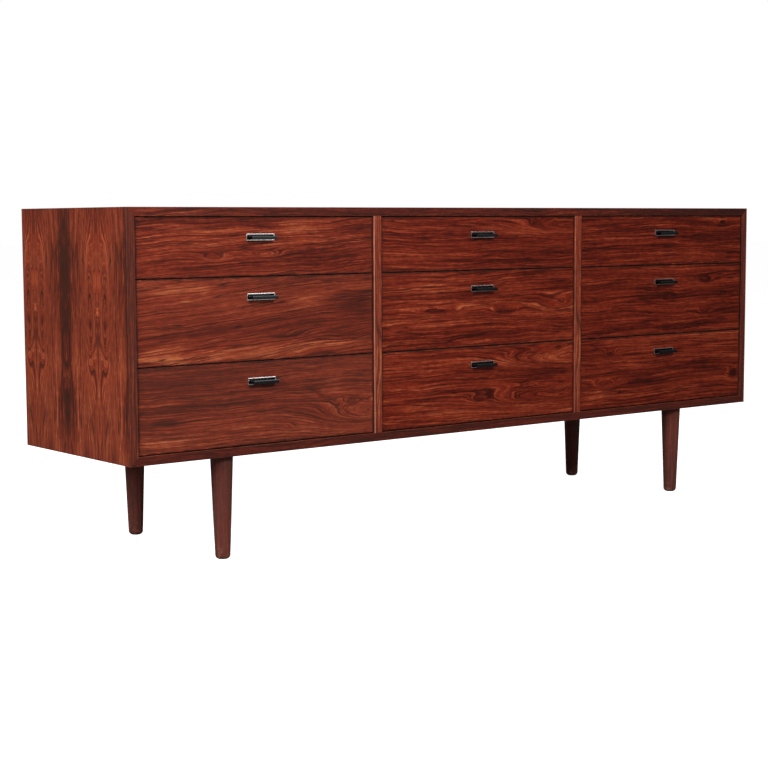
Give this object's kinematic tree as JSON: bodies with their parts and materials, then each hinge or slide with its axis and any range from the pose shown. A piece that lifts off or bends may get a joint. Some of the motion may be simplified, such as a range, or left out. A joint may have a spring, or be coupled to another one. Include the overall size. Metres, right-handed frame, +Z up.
{
  "type": "dresser with drawers",
  "caption": "Long low rosewood dresser on round tapered legs, with columns of side-hung sliding drawers and chrome-framed black pulls.",
  "frame": {"origin": "on the floor under the middle of the whole object, halfway along its length and halfway between the tips of the pulls and the back edge of the case", "axes": "+X along the length, to the right as seen from the front; +Y from the front to the back; +Z up"},
  "size_m": [2, 0.4976, 0.786],
  "materials": {
    "case_veneer": "satin oiled rosewood veneer",
    "divider_wood": "satin oiled rosewood",
    "drawer_front_veneer": "satin oiled rosewood veneer, grain along the front",
    "leg_wood": "satin oiled turned rosewood",
    "back_plywood": "plain mahogany-faced plywood",
    "runner_wood": "waxed beech",
    "drawer_side_wood": "clear-lacquered solid oak",
    "drawer_bottom_plywood": "clear-lacquered birch plywood",
    "handle_chrome": "polished chrome-plated metal",
    "handle_black": "glossy black",
    "plate_steel": "zinc-plated steel",
    "screw_steel": "bright zinc-plated steel"
  },
  "bodies": {
    "case": {"top_panel": "case_veneer", "bottom_panel": "case_veneer", "left_side_panel": "case_veneer", "right_side_panel": "case_veneer", "left_divider": "divider_wood", "right_divider": "divider_wood", "back_panel": "back_plywood", "drawer_runners": "runner_wood", "leg_front_left": "leg_wood", "leg_front_right": "leg_wood", "leg_rear_left": "leg_wood", "leg_rear_right": "leg_wood", "leg_plates": "plate_steel", "leg_studs": "plate_steel", "wood_screws": "screw_steel"},
    "bottom_left_drawer": {"bottom_left_drawer_front": "drawer_front_veneer", "bottom_left_drawer_box": "drawer_side_wood", "bottom_left_drawer_bottom": "drawer_bottom_plywood", "bottom_left_drawer_handle_frame": "handle_chrome", "bottom_left_drawer_handle_grip": "handle_black"},
    "bottom_centre_drawer": {"bottom_centre_drawer_front": "drawer_front_veneer", "bottom_centre_drawer_box": "drawer_side_wood", "bottom_centre_drawer_bottom": "drawer_bottom_plywood", "bottom_centre_drawer_handle_frame": "handle_chrome", "bottom_centre_drawer_handle_grip": "handle_black"},
    "bottom_right_drawer": {"bottom_right_drawer_front": "drawer_front_veneer", "bottom_right_drawer_box": "drawer_side_wood", "bottom_right_drawer_bottom": "drawer_bottom_plywood", "bottom_right_drawer_handle_frame": "handle_chrome", "bottom_right_drawer_handle_grip": "handle_black"},
    "middle_left_drawer": {"middle_left_drawer_front": "drawer_front_veneer", "middle_left_drawer_box": "drawer_side_wood", "middle_left_drawer_bottom": "drawer_bottom_plywood", "middle_left_drawer_handle_frame": "handle_chrome", "middle_left_drawer_handle_grip": "handle_black"},
    "middle_centre_drawer": {"middle_centre_drawer_front": "drawer_front_veneer", "middle_centre_drawer_box": "drawer_side_wood", "middle_centre_drawer_bottom": "drawer_bottom_plywood", "middle_centre_drawer_handle_frame": "handle_chrome", "middle_centre_drawer_handle_grip": "handle_black"},
    "middle_right_drawer": {"middle_right_drawer_front": "drawer_front_veneer", "middle_right_drawer_box": "drawer_side_wood", "middle_right_drawer_bottom": "drawer_bottom_plywood", "middle_right_drawer_handle_frame": "handle_chrome", "middle_right_drawer_handle_grip": "handle_black"},
    "top_left_drawer": {"top_left_drawer_front": "drawer_front_veneer", "top_left_drawer_box": "drawer_side_wood", "top_left_drawer_bottom": "drawer_bottom_plywood", "top_left_drawer_handle_frame": "handle_chrome", "top_left_drawer_handle_grip": "handle_black"},
    "top_centre_drawer": {"top_centre_drawer_front": "drawer_front_veneer", "top_centre_drawer_box": "drawer_side_wood", "top_centre_drawer_bottom": "drawer_bottom_plywood", "top_centre_drawer_handle_frame": "handle_chrome", "top_centre_drawer_handle_grip": "handle_black"},
    "top_right_drawer": {"top_right_drawer_front": "drawer_front_veneer", "top_right_drawer_box": "drawer_side_wood", "top_right_drawer_bottom": "drawer_bottom_plywood", "top_right_drawer_handle_frame": "handle_chrome", "top_right_drawer_handle_grip": "handle_black"}
  },
  "joints": [
    {"name": "bottom_left_drawer_slide", "type": "slide", "parent": "case", "child": "bottom_left_drawer", "axis": [0, -1, 0], "range_m": [0, 0.32]},
    {"name": "bottom_centre_drawer_slide", "type": "slide", "parent": "case", "child": "bottom_centre_drawer", "axis": [0, -1, 0], "range_m": [0, 0.32]},
    {"name": "bottom_right_drawer_slide", "type": "slide", "parent": "case", "child": "bottom_right_drawer", "axis": [0, -1, 0], "range_m": [0, 0.32]},
    {"name": "middle_left_drawer_slide", "type": "slide", "parent": "case", "child": "middle_left_drawer", "axis": [0, -1, 0], "range_m": [0, 0.32]},
    {"name": "middle_centre_drawer_slide", "type": "slide", "parent": "case", "child": "middle_centre_drawer", "axis": [0, -1, 0], "range_m": [0, 0.32]},
    {"name": "middle_right_drawer_slide", "type": "slide", "parent": "case", "child": "middle_right_drawer", "axis": [0, -1, 0], "range_m": [0, 0.32]},
    {"name": "top_left_drawer_slide", "type": "slide", "parent": "case", "child": "top_left_drawer", "axis": [0, -1, 0], "range_m": [0, 0.32]},
    {"name": "top_centre_drawer_slide", "type": "slide", "parent": "case", "child": "top_centre_drawer", "axis": [0, -1, 0], "range_m": [0, 0.32]},
    {"name": "top_right_drawer_slide", "type": "slide", "parent": "case", "child": "top_right_drawer", "axis": [0, -1, 0], "range_m": [0, 0.32]}
  ]
}
